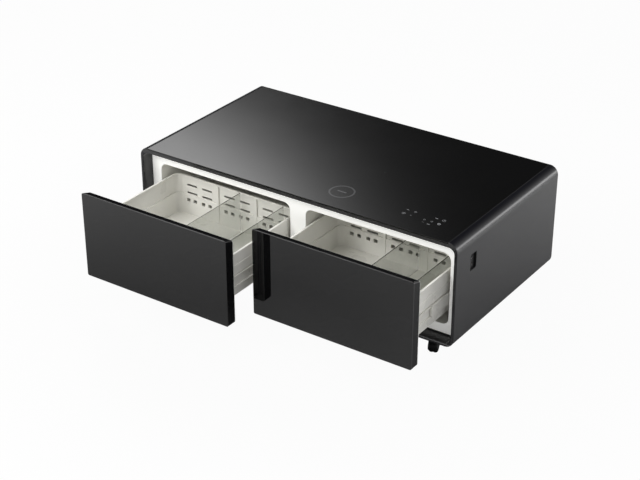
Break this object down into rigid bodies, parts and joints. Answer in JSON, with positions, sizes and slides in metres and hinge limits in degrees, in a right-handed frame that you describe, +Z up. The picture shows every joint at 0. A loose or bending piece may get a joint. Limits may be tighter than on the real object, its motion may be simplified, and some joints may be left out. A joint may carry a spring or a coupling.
{
  "type": "refrigerator coffee table",
  "caption": "Low rectangular table with a dark glass top and rounded cabinet that holds chilled drawers on telescopic rails, a side outlet and swivel casters.",
  "frame": {"origin": "on the floor, under the middle of the box round the whole table as it stands with its drawers open", "axes": "+X along the table to its right as seen from the drawers, +Y from the drawers to the back, +Z up"},
  "size_m": [1.3, 1.0349, 0.46],
  "materials": {
    "shell": "satin",
    "black_glass": "gloss",
    "white_plastic": "satin",
    "liner_plastic": "satin",
    "tub_plastic": "satin",
    "clear_plastic": "gloss",
    "dark_metal": "satin",
    "black_plastic": "matte",
    "black_metal": "satin",
    "panel_metal": "matte",
    "zinc_steel": "satin",
    "aluminium": "satin",
    "copper": "satin",
    "foam": "matte",
    "rubber": "matte",
    "gasket_rubber": "matte",
    "wheel": "satin",
    "lamp": "satin",
    "circuit": "satin",
    "grey_plastic": "matte"
  },
  "bodies": {
    "cabinet": {"outer_shell": "shell", "glass_top": "black_glass", "front_flange": "white_plastic", "left_liner": "liner_plastic", "right_liner": "liner_plastic", "insulation_foam": "foam", "led_strips": "lamp", "left_duct_cover": "white_plastic", "right_duct_cover": "white_plastic", "left_evaporator": "aluminium", "right_evaporator": "aluminium", "left_fan_frame": "black_plastic", "right_fan_frame": "black_plastic", "compressor": "black_metal", "compressor_mounts": "rubber", "condenser": "aluminium", "condenser_fan_frame": "black_plastic", "refrigerant_lines": "copper", "drain_pan": "grey_plastic", "control_board": "circuit", "power_supply": "zinc_steel", "power_inlet": "black_plastic", "back_panel": "panel_metal", "cabinet_screws": "zinc_steel", "touch_board": "circuit", "charging_coil": "copper", "outlet_housing": "black_plastic", "outlet_insert": "black_plastic", "left_fixed_rails": "zinc_steel", "right_fixed_rails": "zinc_steel", "caster_plates": "zinc_steel"},
    "left_drawer": {"left_drawer_glass": "black_glass", "left_drawer_case": "dark_metal", "left_drawer_core": "foam", "left_drawer_cover": "white_plastic", "left_drawer_gasket": "gasket_rubber", "left_drawer_tub": "tub_plastic", "left_drawer_dividers": "clear_plastic", "left_inner_rails": "zinc_steel"},
    "left_middle_rails": {"left_middle_rails": "zinc_steel"},
    "right_drawer": {"right_drawer_glass": "black_glass", "right_drawer_case": "dark_metal", "right_drawer_core": "foam", "right_drawer_cover": "white_plastic", "right_drawer_gasket": "gasket_rubber", "right_drawer_tub": "tub_plastic", "right_drawer_dividers": "clear_plastic", "right_inner_rails": "zinc_steel"},
    "right_middle_rails": {"right_middle_rails": "zinc_steel"},
    "left_fan": {"left_fan_rotor": "black_plastic"},
    "right_fan": {"right_fan_rotor": "black_plastic"},
    "condenser_fan": {"condenser_fan_rotor": "black_plastic"},
    "front_left_caster": {"front_left_caster_hood": "black_plastic"},
    "front_left_wheels": {"front_left_caster_wheels": "wheel"},
    "front_right_caster": {"front_right_caster_hood": "black_plastic"},
    "front_right_wheels": {"front_right_caster_wheels": "wheel"},
    "rear_left_caster": {"rear_left_caster_hood": "black_plastic"},
    "rear_left_wheels": {"rear_left_caster_wheels": "wheel"},
    "rear_right_caster": {"rear_right_caster_hood": "black_plastic"},
    "rear_right_wheels": {"rear_right_caster_wheels": "wheel"}
  },
  "joints": [
    {"name": "left_drawer_slide", "type": "slide", "parent": "cabinet", "child": "left_drawer", "axis": [0, -1, 0], "range_m": [-0.339, 0.021]},
    {"name": "left_middle_slide", "type": "slide", "parent": "cabinet", "child": "left_middle_rails", "axis": [0, -1, 0], "range_m": [-0.1695, 0.0105]},
    {"name": "right_drawer_slide", "type": "slide", "parent": "cabinet", "child": "right_drawer", "axis": [0, -1, 0], "range_m": [-0.219, 0.141]},
    {"name": "right_middle_slide", "type": "slide", "parent": "cabinet", "child": "right_middle_rails", "axis": [0, -1, 0], "range_m": [-0.1095, 0.0705]},
    {"name": "left_fan_spin", "type": "hinge", "parent": "cabinet", "child": "left_fan", "pos_m": [-0.3162, 0.311, 0.33], "axis": [0, 1, 0], "continuous": true},
    {"name": "right_fan_spin", "type": "hinge", "parent": "cabinet", "child": "right_fan", "pos_m": [0.3162, 0.311, 0.33], "axis": [0, 1, 0], "continuous": true},
    {"name": "condenser_fan_spin", "type": "hinge", "parent": "cabinet", "child": "condenser_fan", "pos_m": [-0.2015, 0.43975, 0.147], "axis": [1, 0, 0], "continuous": true},
    {"name": "front_left_swivel", "type": "hinge", "parent": "cabinet", "child": "front_left_caster", "pos_m": [-0.55, -0.1315, 0.065], "axis": [0, 0, 1], "continuous": true},
    {"name": "front_left_roll", "type": "hinge", "parent": "front_left_caster", "child": "front_left_wheels", "pos_m": [-0.55494, -0.11628, 0.025], "axis": [0.9511, 0.309, 0], "continuous": true},
    {"name": "front_right_swivel", "type": "hinge", "parent": "cabinet", "child": "front_right_caster", "pos_m": [0.55, -0.1315, 0.065], "axis": [0, 0, 1], "continuous": true},
    {"name": "front_right_roll", "type": "hinge", "parent": "front_right_caster", "child": "front_right_wheels", "pos_m": [0.54506, -0.11628, 0.025], "axis": [0.9511, 0.309, 0], "continuous": true},
    {"name": "rear_left_swivel", "type": "hinge", "parent": "cabinet", "child": "rear_left_caster", "pos_m": [-0.55, 0.4705, 0.065], "axis": [0, 0, 1], "continuous": true},
    {"name": "rear_left_roll", "type": "hinge", "parent": "rear_left_caster", "child": "rear_left_wheels", "pos_m": [-0.55494, 0.48572, 0.025], "axis": [0.9511, 0.309, 0], "continuous": true},
    {"name": "rear_right_swivel", "type": "hinge", "parent": "cabinet", "child": "rear_right_caster", "pos_m": [0.55, 0.4705, 0.065], "axis": [0, 0, 1], "continuous": true},
    {"name": "rear_right_roll", "type": "hinge", "parent": "rear_right_caster", "child": "rear_right_wheels", "pos_m": [0.54506, 0.48572, 0.025], "axis": [0.9511, 0.309, 0], "continuous": true}
  ],
  "couplings": [
    {"joint": "left_middle_slide", "follows": "left_drawer_slide", "ratio": 0.5},
    {"joint": "right_middle_slide", "follows": "right_drawer_slide", "ratio": 0.5}
  ]
}
